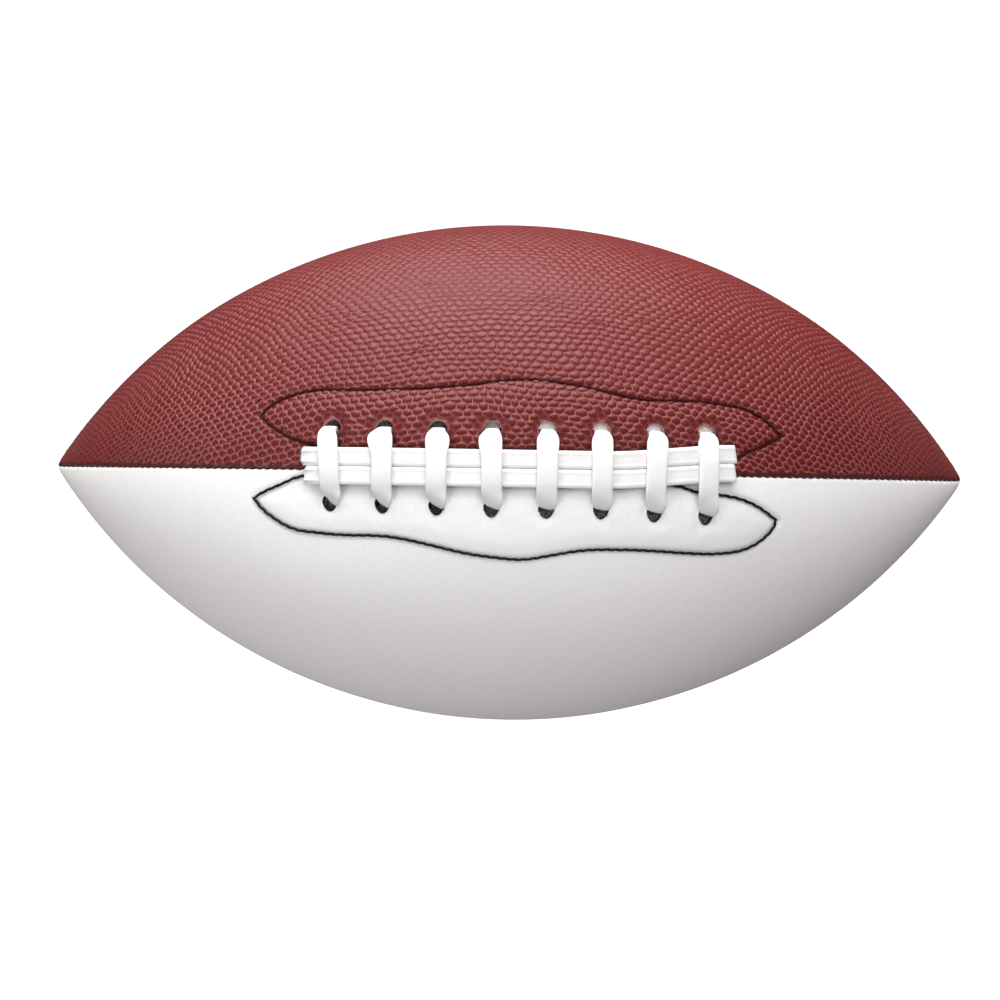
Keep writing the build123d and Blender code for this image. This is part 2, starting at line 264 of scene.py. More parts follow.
class BallSizes(PropertyGroup):
    """Sizes of the ball and of its covers."""

    radius: length("Radius", "Half of the ball's diameter", 0.0697)
    half_length: length("Half Length", "From the middle to the sharp tip of the lens", 0.12795)
    cover_thickness: length("Cover Thickness", "Thickness of a cover panel", 0.0018)
    skin_depth: length("Skin Depth", "How far the valleys between pebbles lie under the lens", 0.00036)
    pebble_length: length("Pebble Length", "Spacing of the pebbles along the ball", 0.0023)
    pebble_row: length("Pebble Row", "Spacing of the rows of pebbles", 0.00185)
    pebble_slope: length("Pebble Slope", "Width of the flank of a pebble", 0.00027)
    pebble_shoulder: length("Pebble Shoulder", "Width of the shoulder of a pebble", 0.00036)
    flank_height: length("Flank Height", "Height of the flank of a pebble", 0.0004)
    shoulder_height: length("Shoulder Height", "Height of the shoulder of a pebble", 0.00014)
    crown_height: length("Crown Height", "Height of the crown of a pebble", 0.00006)
    pebble_jitter: length("Pebble Jitter", "How far a pebble's corners stray", 0.00027)
    swirl_size: length("Swirl Size", "Size of the swirls in the rows of pebbles", 0.017)
    swirl_reach: length("Swirl Reach", "How far the swirls bend the rows", 0.0013)
    smooth_cell: length("Smooth Cell", "Cell size of the smooth covers", 0.0007)
    seam_inset: length("Seam Inset", "Width of the rolled edge on each side of a seam", 0.00055)
    roll_depth: length("Roll Depth", "Depth of the crease between two rolled edges", 0.0009)
    bite_pitch: length("Bite Pitch", "Spacing of the stitches along a seam", 0.0024)
    bite_depth: length("Bite Depth", "How far a seam stitch pulls the rolled edge in", 0.0003)
    bite_reach: length("Bite Reach", "How far the seam line sways between two stitches", 0.00042)
    tip_blunt: length("Tip Blunt", "How far the sharp ends of the lens are pushed in", 0.0006)
    tip_width: length("Tip Width", "Over what distance from a tip that push fades", 0.0013)
    valve_angle: angle("Valve Angle", "Turn of the valve about the long axis", radians(45))
    valve_hole_radius: length("Valve Hole Radius", "Radius of the hole round the valve", 0.0051)
    seed: IntProperty(name="Seed", description="Start of the pebbles' scatter", default=7, min=0)


class LacingSizes(PropertyGroup):
    """Sizes of the lacing, its holes and the stitched facings."""

    rung_count: IntProperty(name="Rungs", description="Number of rungs", default=8, min=3, max=8)
    rung_pitch: length("Rung Pitch", "Spacing of the rungs along the front meridian", 0.0149)
    shift: length("Lacing Shift", "How far the lacing sits to the right of the middle", 0.0026)
    rise: length("Lacing Rise", "How far the lacing sits above the seam", 0.0009)
    lace_width: length("Lace Width", "Width of a rung", 0.0056)
    leg_width: length("Leg Width", "Width of a rung where it goes through the cover", 0.004)
    lace_thickness: length("Lace Thickness", "Thickness of a rung", 0.0014)
    leg_spread: length("Leg Spread", "From the lacing line to a rung's leg", 0.0098)
    leg_depth: length("Leg Depth", "How deep a rung's leg goes under the cover", 0.0036)
    shoulder_spread: length("Shoulder Spread", "From the lacing line to where a rung bends down", 0.0056)
    crest_height: length("Crest Height", "Height of a rung's middle line over the ball", 0.0026)
    knee_height: length("Knee Height", "Height of that line where a rung bends into its hole", 0.0005)
    hole_radius: length("Hole Radius", "Radius of an upper lace hole", 0.0026)
    lower_hole_radius: length("Lower Hole Radius", "Radius of a lower lace hole", 0.00215)
    hole_point: length("Hole Point", "How far the lower end of a lower lace hole is drawn out", 0.0006)
    hole_spread: length("Hole Spread", "From the lacing line to the middle of a lace hole", 0.0104)
    strap_length: length("Long Lace Length", "Length of a long lace", 0.119)
    strap_width: length("Long Lace Width", "Width of a long lace", 0.005)
    strap_thickness: length("Long Lace Thickness", "Thickness of a long lace", 0.0015)
    strap_gap: length("Long Lace Gap", "Gap between the long laces", 0.00006)
    strap_seat: length("Long Lace Seat", "Height of a long lace's underside over the ball", 0.00025)
    strap_swell: length("Long Lace Swell", "How far a long lace bulges between two rungs", 0.0003)
    strap_drift: length("Long Lace Drift", "How far the right ends of the long laces climb", 0.0023)
    rib_depth: length("Rib Depth", "Depth of the woven ribs of a rung", 0.00004)
    strap_rib_depth: length("Long Lace Rib Depth", "Depth of the ribs of a long lace", 0.00011)
    fray_length: length("Fray Length", "Length of the ridged left end of a long lace", 0.0045)
    fray_depth: length("Fray Depth", "Depth of those ridges", 0.00025)
    slot_half_length: length("Slot Half Length", "Half of the length of the slot", 0.056)
    slot_half_width: length("Slot Half Width", "Half of the width of the slot", 0.001)
    facing_half_length: length("Facing Half Length", "Half of the length of a stitched facing", 0.0705)
    upper_facing_height: length("Upper Facing Height", "Height of the upper facing", 0.0252)
    lower_facing_height: length("Lower Facing Height", "Height of the lower facing", 0.0236)
    stitch_pitch: length("Stitch Pitch", "Length of a stitch of the facings", 0.0025)
    stitch_radius: length("Stitch Radius", "Half of the thickness of that thread", 0.0005)
    groove_depth: length("Groove Depth", "Depth of the groove in which that thread lies", 0.0005)
    groove_width: length("Groove Width", "Half of the width of that groove", 0.0007)
    puff_height: length("Puff Height", "How far the cover swells inside a stitched outline", 0.00035)
    puff_width: length("Puff Width", "Over what width that swell rises", 0.005)
    dimple_depth: length("Dimple Depth", "How far the cover is pulled in round a lace hole", 0.0003)
    dimple_width: length("Dimple Width", "Over what width it is pulled in", 0.0016)
    press_depth: length("Press Depth", "How far the laces dent the cover along their edges", 0.0003)
    press_width: length("Press Width", "Half of the width of that dent", 0.0008)
    pucker_height: length("Pucker Height", "Height of the puckers between the lace holes", 0.0002)
    pucker_size: length("Pucker Size", "Size of those puckers", 0.0034)
    pucker_width: length("Pucker Width", "How far from a lace hole they reach", 0.005)


class FinishColours(PropertyGroup):
    """Colours of the ball's pieces."""

    crown_brown: colour("Crown Brown", "Crowns of the pebbles", (0.097, 0.005, 0.0046, 1))
    # Lighter crowns high up: painted sheen of the top light
    high_brown: colour("High Brown", "Crowns of the pebbles high up", (0.14, 0.0132, 0.0125, 1))
    valley_brown: colour("Valley Brown", "Valleys between the pebbles high up", (0.15, 0.0165, 0.0155, 1))
    # Painted highlight on the upper rims of the pebbles, laid on the valleys near the front seam
    rim_highlight_brown: colour("Pale Brown", "Valleys near the front seam", (0.365, 0.097, 0.092, 1))
    cover_white: colour("Cover White", "Smooth covers", (0.85, 0.85, 0.85, 1))
    cover_shade: colour("Cover Shade", "Hollows of the smooth covers' grain", (0.74, 0.735, 0.73, 1))
    # Painted shade in the rolled seams, the laces' dents and the stitch grooves; also the flecks of the
    # brown thread
    shade_and_fleck_brown: colour("Crease Brown", "Creases of the pebbled covers", (0.045, 0.002, 0.002, 1))
    raw_brown: colour("Raw Brown", "Cut edge of a pebbled cover inside a hole", (0.5, 0.3, 0.28, 1))
    # Painted shade on the walls of the holes in the smooth covers
    painted_hole_shade: colour("Raw Edge", "Cut edge of a smooth cover inside a hole", (0.05, 0.042, 0.04, 1))
    lace_white: colour("Lace White", "Laces", (0.755, 0.755, 0.752, 1))
    lace_shade: colour("Lace Shade", "Between the woven ribs of the laces", (0.62, 0.62, 0.63, 1))
    thread_black: colour("Thread Black", "Thread of the lower facing", (0.009, 0.0085, 0.009, 1))
    thread_brown: colour("Thread Brown", "Thread of the upper facing", (0.032, 0.0032, 0.0027, 1))
    thread_fleck: colour("Thread Fleck", "Worn fibres of the black thread", (0.03, 0.027, 0.027, 1))
    facing_dark: colour("Facing Dark", "Ground of the facing fabric", (0.012, 0.012, 0.013, 1))
    facing_pale: colour("Facing Pale", "Fibres of the facing fabric", (0.85, 0.85, 0.85, 1))
    tongue_grey: colour("Tongue Grey", "Felt of the tongue", (0.035, 0.035, 0.037, 1))
    foam_cream: colour("Foam Cream", "Foam linings", (0.62, 0.58, 0.47, 1))
    bladder_black: colour("Bladder Black", "Rubber of the bladder and valve", (0.022, 0.022, 0.024, 1))
    plug_rubber: colour("Plug Rubber", "Rubber of the valve's plug", (0.05, 0.05, 0.055, 1))
    seam_grey: colour("Seam Grey", "Thread of the seams", (0.10, 0.08, 0.07, 1))


class StageSettings(PropertyGroup):
    """Camera and light."""

    camera_distance: length("Camera Distance", "From the camera to the ball's axis", 1.5)
    view_width: length("View Width", "Width of the picture at the ball's axis", 0.2813)
    view_shift: length("View Shift", "How far the camera stands to the side", -0.0025)
    view_drop: length("View Drop", "How far the camera stands under the axis", -0.0076)
    view_roll: angle("View Roll", "Turn of the picture", radians(-0.95))
    top_power: power("Top Light", "Power of the top light", 28.0)
    front_power: power("Front Light", "Power of the front light", 16.9)
    fill_power: power("Fill Light", "Power of the low left light", 6.8)
    back_power: power("Back Light", "Power of the light behind", 10.0)
    ambient: FloatProperty(
        name="Ambient", description="Strength of the light from all around", default=0.27, min=0
    )


class Lens:
    """The outer surface of the ball: a circular arc turned about the long axis."""

    def __init__(self, ball):
        self.arc_radius = (ball.half_length**2 + ball.radius**2) / (2 * ball.radius)
        self.arc_offset = self.arc_radius - ball.radius
        self.tip_along = self.arc_radius * asin(ball.half_length / self.arc_radius)

    def ring(self, along):
        """Radius of the ball's round section at a distance along the meridian."""
        return self.arc_radius * cos(along / self.arc_radius) - self.arc_offset

    def place(self, along, turn, lift):
        """Point at a distance along the meridian, a turn about the axis and a height over the surface."""
        bend = along / self.arc_radius
        out = (self.arc_radius + lift) * cos(bend) - self.arc_offset
        return Vector(((self.arc_radius + lift) * sin(bend), out * cos(turn), out * sin(turn)))

    def read(self, point):
        """Distance along the meridian, turn and height of a point."""
        out = hypot(point.y, point.z) + self.arc_offset
        along = self.arc_radius * atan2(point.x, out)
        return along, atan2(point.z, point.y), hypot(point.x, out) - self.arc_radius

    def normal(self, point):
        """Direction straight out of the ball at a point."""
        along, turn, lift = self.read(point)
        return (self.place(along, turn, lift + self.arc_radius) - point).normalized()

    def front(self, x, z, lift):
        """Point of the front of the ball that shows at a place of the front view."""
        along = self.arc_radius * asin(x / self.arc_radius)
        turn = pi - asin(z / self.ring(along))
        return self.place(along, turn, lift)

    def lacing_frame(self, along, rise):
        """Axes across, out of and up the front meridian, with their origin on the lacing line."""
        bend = along / self.arc_radius
        origin = (self.arc_radius * sin(bend), self.arc_offset - self.arc_radius * cos(bend), rise)
        axes = Matrix(((cos(bend), sin(bend), 0), (sin(bend), -cos(bend), 0), (0, 0, 1))).transposed()
        return Matrix.Translation(origin) @ axes.to_4x4()


def ease(low, high, value):
    """Smooth step from 0 at the low end to 1 at the high end."""
    share = min(max((value - low) / (high - low), 0), 1)
    return share * share * (3 - 2 * share)


def bell(distance, width):
    """Smooth bump that is 1 at no distance."""
    return exp(-((distance / width) ** 2))


def soft_vector(place):
    """Smoothly varying vector in the plane, the same on each run."""
    return Vector((noise.noise(place), noise.noise(place + second_noise), 0))


def rung_places(lacing):
    """Distances of the rungs along the front meridian."""
    middle = (lacing.rung_count - 1) / 2
    numbers = range(lacing.rung_count)
    return [lacing.shift + lacing.rung_pitch * (number - middle) for number in numbers]


def strap_rise(lacing, along):
    """Height of the line between the long laces, which climbs from the third rung from the right."""
    end = lacing.shift + lacing.strap_length / 2
    return lacing.rise + lacing.strap_drift * ease(rung_places(lacing)[-3], end, along)


def hole_middles(lens, lacing, side):
    """Middles of the lace holes of the upper side (1) or the lower one (-1)."""
    middles = []
    for along, reach in zip(rung_places(lacing), rung_reach_shares):
        spread = lacing.hole_spread * (1 if side > 0 else 1 + reach)
        middles.append(lens.lacing_frame(along, lacing.rise) @ Vector((0, 0, side * spread)))
    return middles


def outline_points(lacing, side):
    """A facing's stitched outline in the front view, as closely spaced points (x, 0, z)."""
    shares = upper_outline_shares if side > 0 else lower_outline_shares
    height = lacing.upper_facing_height if side > 0 else lacing.lower_facing_height
    curve = bpy.data.curves.new("facing_outline", "CURVE")
    curve.dimensions = "3D"
    curve.resolution_u = outline_steps
    spline = curve.splines.new("BEZIER")
    spline.bezier_points.add(len(shares) - 1)
    spline.use_cyclic_u = True
    half = lacing.facing_half_length
    places = [Vector((lacing.shift + along * half, 0, side * up * height)) for along, up in shares]
    for index, point in enumerate(spline.bezier_points):
        point.co = places[index]
        coming = places[index] - places[index - 1]
        going = places[(index + 1) % len(places)] - places[index]
        handle = "VECTOR" if coming.angle(going) > sharp_turn else "AUTO"
        point.handle_left_type = handle
        point.handle_right_type = handle
    holder = bpy.data.objects.new("facing_outline", curve)
    mesh = bpy.data.meshes.new_from_object(holder)
    points = [vertex.co.copy() for vertex in mesh.vertices]
    bpy.data.objects.remove(holder)
    bpy.data.curves.remove(curve)
    bpy.data.meshes.remove(mesh)
    return points


def spaced_points(points, pitch):
    """Points of a closed outline, evenly spaced by about a pitch."""
    lengths = [0]
    for start, end in zip(points, points[1:] + points[:1]):
        lengths.append(lengths[-1] + (end - start).length)
    count = round(lengths[-1] / pitch)
    spaced = []
    index = 0
    for number in range(count):
        target = lengths[-1] * number / count
        while lengths[index + 1] < target:
            index += 1
        share = (target - lengths[index]) / (lengths[index + 1] - lengths[index])
        spaced.append(points[index].lerp(points[(index + 1) % len(points)], share))
    return spaced


def add_piece(name, bm, finish, nodes):
    """Makes a finished piece that rides on the ball and stands for its solids."""
    mesh = bpy.data.meshes.new(name)
    bm.to_mesh(mesh)
    bm.free()
    mesh.shade_smooth()
    mesh.materials.append(finish.material)
    piece = bpy.data.objects.new(name, mesh)
    bpy.context.scene.collection.objects.link(piece)
    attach(piece, "root")
    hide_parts(*nodes)


def grow(bm, edges):
    """Extrudes open edges and gives the new vertices and the new open edges."""
    grown = bmesh.ops.extrude_edge_only(bm, edges=edges)["geom"]
    verts = [item for item in grown if isinstance(item, bmesh.types.BMVert)]
    open_edges = [item for item in grown if isinstance(item, bmesh.types.BMEdge) and item.is_boundary]
    return verts, open_edges


class FrontShape:
    """How the facing and the laces shape a front cover: a swell inside a groove, and dents."""

    def __init__(self, lens, lacing, side):
        self.lens = lens
        self.lacing = lacing
        self.rungs = rung_places(lacing)
        self.points = outline_points(lacing, side)
        self.side = side
        self.tree = kdtree.KDTree(len(self.points))
        for index, point in enumerate(self.points):
            self.tree.insert(point, index)
        self.tree.balance()
        self.holes = [Vector((hole.x, 0, hole.z)) for hole in hole_middles(lens, lacing, side)]

    def lift(self, point):
        """Height that they add at a point of the cover."""
        lacing = self.lacing
        flat = Vector((point.x, 0, point.z))
        nearest, index, distance = self.tree.find(flat)
        ahead = self.points[(index + 1) % len(self.points)] - self.points[index - 1]
        away = flat - nearest
        inside = (ahead.z * away.x - ahead.x * away.z) * self.side > 0
        lift = -lacing.groove_depth * bell(distance, lacing.groove_width)
        if inside:
            near_lace = ease(lacing.strap_width, lacing.hole_spread, abs(point.z - lacing.rise))
            lift += lacing.puff_height * ease(0, lacing.puff_width, distance) * near_lace
        gap = max(min((flat - hole).length for hole in self.holes) - lacing.hole_radius, 0)
        pucker = noise.noise(flat / lacing.pucker_size) * bell(gap, lacing.pucker_width)
        lift += lacing.pucker_height * pucker - lacing.dimple_depth * bell(gap, lacing.dimple_width)
        return lift - lacing.press_depth * self.press(point)

    def groove(self, point):
        """How near a point is to the stitches, for the painted shade in their groove: 1 in the middle of
        that groove.
        """
        distance = self.tree.find(Vector((point.x, 0, point.z)))[2]
        return bell(distance, self.lacing.groove_width)

    def press(self, point):
        """How strongly the laces dent the cover and lay painted shadow on it: 1 along the long laces and
        on the right of the rungs.
        """
        lacing = self.lacing
        along = self.lens.read(point)[0]
        up = (point.z - strap_rise(lacing, along)) * self.side
        half = lacing.strap_length / 2
        beyond = ease(half, half + lacing.press_width, abs(along - lacing.shift))
        strap_edge = bell(up - lacing.strap_width, lacing.press_width) * (1 - beyond)
        beside = min(abs(along - rung - lacing.lace_width / 2) for rung in self.rungs)
        over = ease(lacing.hole_spread - lacing.hole_radius, lacing.hole_spread, up)
        return max(strap_edge, bell(beside, lacing.press_width) * (1 - over))


class CoverSkin:
    """The skin of one cover panel, made flat and then wrapped round the ball."""

    def __init__(self, ball, lacing, panel):
        self.ball = ball
        self.lacing = lacing
        self.lens = Lens(ball)
        self.panel = panel
        self.middle = radians(panel_turns[panel])
        self.ways = (1 if cos(self.middle) > 0 else -1, 1 if sin(self.middle) > 0 else -1)
        self.scatter = Random(ball.seed + panel_turns[panel])
        self.bm = bmesh.new()
        self.height = self.bm.verts.layers.float.new("pebble")
        self.wall = self.bm.verts.layers.float.new("wall")
        # Painted shade: in the rolled seams, along the laces and in the stitch grooves
        self.crease = self.bm.verts.layers.float.new("crease")

    def lay_cells(self, cell_length, cell_row):
        """Lays a flat grid over the panel: x along the ball, y across the panel."""
        half_along = self.lens.tip_along - self.ball.seam_inset / 2
        half_across = self.ball.radius * pi / 4 + 2 * cell_row
        columns = round(half_along / cell_length) * 2
        rows = round(half_across / cell_row) * 2
        stretch = Matrix.Diagonal((half_along, half_across, 1, 1))
        bmesh.ops.create_grid(self.bm, x_segments=columns, y_segments=rows, size=1, matrix=stretch)
        self.cell = Vector((2 * half_along / columns, 2 * half_across / rows))
        self.corner = Vector((half_along, half_across))

    def spot(self, vertex):
        """Column and row of a vertex of the flat grid."""
        column = round((vertex.co.x + self.corner.x) / self.cell.x)
        return column, round((vertex.co.y + self.corner.y) / self.cell.y)

    def make_pebble_outlines(self):
        """Turns the flat grid into uneven six-sided cells that run in swirling rows."""
        bm = self.bm
        ball = self.ball
        spots = {vertex: self.spot(vertex) for vertex in bm.verts}
        extra = []
        for edge in bm.edges:
            (column, row), (other_column, other_row) = (spots[vertex] for vertex in edge.verts)
            if column == other_column and (column + min(row, other_row)) % 2 and not edge.is_boundary:
                extra.append(edge)
        zigzag = self.cell.y / zigzag_parts
        for vertex, (column, row) in spots.items():
            vertex.co.y += -zigzag if (column + row) % 2 else zigzag
            place = vertex.co / ball.swirl_size
            ripple = ripple_share * (1 + tip_ripple_share * (vertex.co.x / self.corner.x) ** 2)
            swirl = soft_vector(place) + ripple * soft_vector(ripple_scale * place)
            stray = Vector((self.scatter.uniform(-1, 1), self.scatter.uniform(-1, 1), 0))
            vertex.co += swirl * ball.swirl_reach + stray * ball.pebble_jitter
            out = min(max(vertex.co.x / self.corner.x, -1), 1)
            vertex.co.x = self.corner.x * out * (1 + tip_shrink_share - tip_shrink_share * out**2)
            vertex.co.y *= 1 - row_shrink_share * out**2
        bmesh.ops.dissolve_edges(bm, edges=extra, use_verts=False)

    def wrap(self):
        """Drops the cells outside the panel, wraps the rest round the ball and trims the seams."""
        bm = self.bm
        spare = [face for face in bm.faces if self.is_outside(face.calc_center_median())]
        bmesh.ops.delete(bm, geom=spare, context="FACES")
        for vertex in bm.verts:
            along = min(max(vertex.co.x, -self.corner.x), self.corner.x)
            turn = min(max(vertex.co.y / self.lens.ring(along), -widest_turn), widest_turn)
            vertex.co = self.lens.place(along, self.middle - turn, -self.ball.skin_depth)
        for axis, way in zip((Vector((0, 1, 0)), Vector((0, 0, 1))), self.ways):
            everything = bm.verts[:] + bm.edges[:] + bm.faces[:]
            edge = axis * way * self.ball.seam_inset
            outer = -axis * way
            bmesh.ops.bisect_plane(bm, geom=everything, plane_co=edge, plane_no=outer, clear_outer=True)
        bmesh.ops.remove_doubles(bm, verts=bm.verts[:], dist=self.ball.skin_depth)

    def is_outside(self, middle):
        """Whether a flat cell lies wholly outside the panel."""
        return abs(middle.y) > self.lens.ring(middle.x) * pi / 4 + 2 * self.cell.length

    def cut_hole(self, middle, radius, point_length):
        """Opens a round hole in the skin, with its lower end drawn out to a point."""
        bm = self.bm
        axis = self.lens.normal(middle)

        def off_axis(point):
            away = point - middle
            return away - axis * away.dot(axis)

        def past_rim(point):
            away = off_axis(point)
            down = max(-away.normalized().z, 0)
            return away.length - radius - point_length * down**hole_point_power

        def is_near(point, margin):
            return (point - middle).dot(axis) > -radius and past_rim(point) < margin

        def to_rim(vertex):
            away = off_axis(vertex.co).normalized()
            along, turn, lift = self.lens.read(vertex.co - away * past_rim(vertex.co))
            vertex.co = self.lens.place(along, turn, -self.ball.skin_depth)

        crossed = []
        for face in bm.faces:
            if is_near(face.calc_center_median(), self.cell.length):
                spans = [past_rim(vertex.co) for vertex in face.verts]
                if min(spans) < 0 < max(spans):
                    crossed.append(face)
        for face in crossed:
            center = face.calc_center_median()
            away = off_axis(center).normalized()
            parts = face.verts[:] + face.edges[:] + [face]
            rim_point = center - away * past_rim(center)
            bmesh.ops.bisect_plane(bm, geom=parts, plane_co=rim_point, plane_no=away)
        lost = [face for face in bm.faces if is_near(face.calc_center_median(), 0)]
        bmesh.ops.delete(bm, geom=lost, context="FACES")
        reach = self.cell.length / 2
        rim = [
            edge
            for edge in bm.edges
            if edge.is_boundary and all(is_near(vertex.co, reach) for vertex in edge.verts)
        ]
        bmesh.ops.bisect_edges(bm, edges=rim, cuts=1)
        for vertex in bm.verts:
            if vertex.is_boundary and is_near(vertex.co, reach):
                to_rim(vertex)
        close = [vertex for vertex in bm.verts if is_near(vertex.co, reach)]
        bmesh.ops.remove_doubles(bm, verts=close, dist=self.ball.pebble_jitter)

    def raise_pebbles(self):
        """Raises a pebble from each cell that isn't a sliver, and keeps each point's height on it."""
        bm = self.bm
        ball = self.ball
        full = ball.flank_height + ball.shoulder_height + ball.crown_height
        least_radius = least_pebble_share * (ball.pebble_slope + ball.pebble_shoulder)
        cells = [face for face in bm.faces if 2 * face.calc_area() / face.calc_perimeter() > least_radius]
        rim = [vertex for edge in self.rim_edges(False) for vertex in edge.verts]
        rim_faces = {face for vertex in rim for face in vertex.link_faces}
        rim_verts = {vertex for face in rim_faces for vertex in face.verts}
        rim_cells = [face for face in cells if face in rim_faces]
        cells = [face for face in cells if face not in rim_faces]
        bmesh.ops.poke(bm, faces=rim_cells, offset=full, center_mode="MEAN_WEIGHTED")
        steps = ((ball.pebble_slope, ball.flank_height), (ball.pebble_shoulder, ball.shoulder_height))
        for width, height in steps:
            bmesh.ops.inset_individual(
                bm, faces=cells, thickness=width, depth=height, use_even_offset=False
            )
        bmesh.ops.poke(bm, faces=cells, offset=ball.crown_height, center_mode="MEAN_WEIGHTED")
        for vertex in bm.verts:
            along, turn, lift = self.lens.read(vertex.co)
            share = min(max((lift + ball.skin_depth) / full, 0), 1)
            worn_tip = worn_tip_share * ease(worn_tip_start, self.lens.tip_along, abs(along))
            worn_top = worn_top_share * ease(worn_top_start, ball.radius, vertex.co.z)
            flat = max(worn_tip, worn_top)
            vertex[self.height] = share + (worn_tone_share - share) * flat
            vertex.co = self.lens.place(along, turn, share * full * (1 - flat) - ball.skin_depth)
        for vertex in rim_verts:
            vertex[self.height] = max(vertex[self.height], rim_tone_share)

    def shape_front(self, shape):
        """Adds the relief of the facing and the laces, and keeps painted shadow along the laces and
        painted shade in the stitch groove.
        """
        for vertex in self.bm.verts:
            along, turn, lift = self.lens.read(vertex.co)
            # Painted shadow along the long laces and on the right of the rungs
            painted_shadow = press_shadow_share * shape.press(vertex.co)
            # Painted shade in the stitch groove
            vertex[self.crease] = max(painted_shadow, groove_shade_share * shape.groove(vertex.co))
            vertex.co = self.lens.place(along, turn, lift + shape.lift(vertex.co))

    def rim_edges(self, at_seam):
        """Open edges of the skin, along the seams or round the holes."""
        limit = 2 * self.ball.seam_inset
        edges = []
        for edge in self.bm.edges:
            near = all(min(abs(vertex.co.y), abs(vertex.co.z)) < limit for vertex in edge.verts)
            if edge.is_boundary and near == at_seam:
                edges.append(edge)
        return edges

    def slot_share(self, along, point):
        """How open the front seam is: 1 beside the slot, 0 elsewhere."""
        if point.y > 0 or abs(point.z) > abs(point.y):
            return 0
        half = self.lacing.slot_half_length
        return 1 - ease(half - self.lacing.slot_half_width, half, abs(along - self.lacing.shift))

    def roll_seams(self):
        """Rolls the skin's edges in along the seams, with the bites of the seam's stitches and painted
        shade that deepens into the roll.
        """
        ball = self.ball
        lens = self.lens
        bmesh.ops.bisect_edges(self.bm, edges=self.rim_edges(True), cuts=seam_cuts)
        edges = self.rim_edges(True)
        for vertex in {vertex for edge in edges for vertex in edge.verts}:
            vertex[self.height] = 1
        limit = 2 * ball.seam_inset
        for width_share, depth_share in roll_shares:
            new_verts, edges = grow(self.bm, edges)
            for vertex in new_verts:
                along, turn, lift = lens.read(vertex.co)
                open_width = self.lacing.slot_half_width * self.slot_share(along, vertex.co)
                left = max(ball.seam_inset * width_share, open_width)
                bite = (0.5 + 0.5 * cos(2 * pi * along / ball.bite_pitch)) ** 2
                depth = ball.roll_depth * depth_share + ball.bite_depth * bite * (1 - width_share)
                sides = [abs(vertex.co.y), abs(vertex.co.z)]
                at_seams = [side < limit for side in sides]
                ring = lens.ring(along)
                if all(at_seams):
                    ring = left * sqrt(2)
                    bend = pi / 2 - asin((ring + lens.arc_offset) / lens.arc_radius)
                    along = lens.arc_radius * (bend if along > 0 else -bend)
                    sides = [left, left]
                else:
                    far = sqrt(ring**2 - left**2)
                    sides = [left if at_seam else far for at_seam in at_seams]
                sways = at_seams == [False, True]
                sway = ball.bite_reach * (bite - 1) * (1 - width_share) if sways else 0
                sides = [side * way for side, way in zip(sides, self.ways)]
                turn = atan2(sides[1] + sway, sides[0])
                vertex.co = lens.place(along, turn, -ball.skin_depth - depth)
                # The roll takes the crown tone, with painted shade that deepens into the roll
                vertex[self.height] = 1
                vertex[self.crease] = 1 - width_share

    def line_holes(self):
        """Gives the holes in the skin their walls."""
        edges = self.rim_edges(False)
        for share in hole_wall_shares:
            new_verts, edges = grow(self.bm, edges)
            for vertex in new_verts:
                along, turn, lift = self.lens.read(vertex.co)
                vertex.co = self.lens.place(along, turn, -share * self.ball.cover_thickness)
                # Marks the hole walls: raw edge on the pebbled covers, painted shade on the smooth ones
                vertex[self.wall] = 1

    def blunt_tips(self):
        """Rounds the sharp ends of the lens."""
        for vertex in self.bm.verts:
            along = self.lens.read(vertex.co)[0]
            near = exp((abs(along) - self.lens.tip_along) / self.ball.tip_width)
            vertex.co.x -= self.ball.tip_blunt * near * (1 if along > 0 else -1)

    def finish(self, finish, slot):
        """Closes the skin's edges and makes the piece."""
        self.line_holes()
        self.roll_seams()
        self.blunt_tips()
        bmesh.ops.recalc_face_normals(self.bm, faces=self.bm.faces[:])
        node = f"cover_panel_{self.panel}"
        add_piece(f"cover_skin_{self.panel}", self.bm, finish, [node])


def sweep(bm, section, stations):
    """Carries a flat ring of edges through a row of places and closes both ends."""
    edges = section
    verts = list({vertex for edge in edges for vertex in edge.verts})
    first = edges
    bmesh.ops.transform(bm, matrix=stations[0], verts=verts)
    for before, after in zip(stations, stations[1:]):
        verts, edges = grow(bm, edges)
        bmesh.ops.transform(bm, matrix=after @ before.inverted(), verts=verts)
    bmesh.ops.holes_fill(bm, edges=first + edges)


def lay_lace(bm, ribs, rib_share, segments, stations):
    """Sweeps a flat lace with woven ribs, and keeps how far across it each point lies."""
    across = bm.verts.layers.float.get("across")
    ring = bmesh.ops.create_circle(bm, segments=segments, radius=1)["verts"]
    for vertex in ring:
        wide = squared(vertex.co.x)
        thick = squared(vertex.co.y)
        rib = cos(pi * ribs * wide) * rib_share * (1 - abs(wide) ** rib_fade_power)
        vertex.co = Vector((wide / 2, (thick + (rib if thick > 0 else -rib)) / 2, 0))
        vertex[across] = vertex.co.x
    section = [edge for edge in bm.edges if all(vertex in ring for vertex in edge.verts)]
    sweep(bm, section, stations)


def squared(value):
    """Pushes a circle's coordinate outwards to make a rounded square."""
    return (1 if value > 0 else -1) * abs(value) ** lace_squareness


class Value:
    """A number that varies over a surface; sums with it add Math nodes."""

    def __init__(self, finish, socket):
        self.finish = finish
        self.socket = socket

    def math(self, operation, first, second):
        """Adds one Math node."""
        return self.finish.node("ShaderNodeMath", {"operation": operation}, {0: first, 1: second})

    def __add__(self, other):
        return self.math("ADD", self, other)

    def __radd__(self, other):
        return self.math("ADD", other, self)

    def __sub__(self, other):
        return self.math("SUBTRACT", self, other)

    def __rsub__(self, other):
        return self.math("SUBTRACT", other, self)

    def __mul__(self, other):
        return self.math("MULTIPLY", self, other)

    def __rmul__(self, other):
        return self.math("MULTIPLY", other, self)


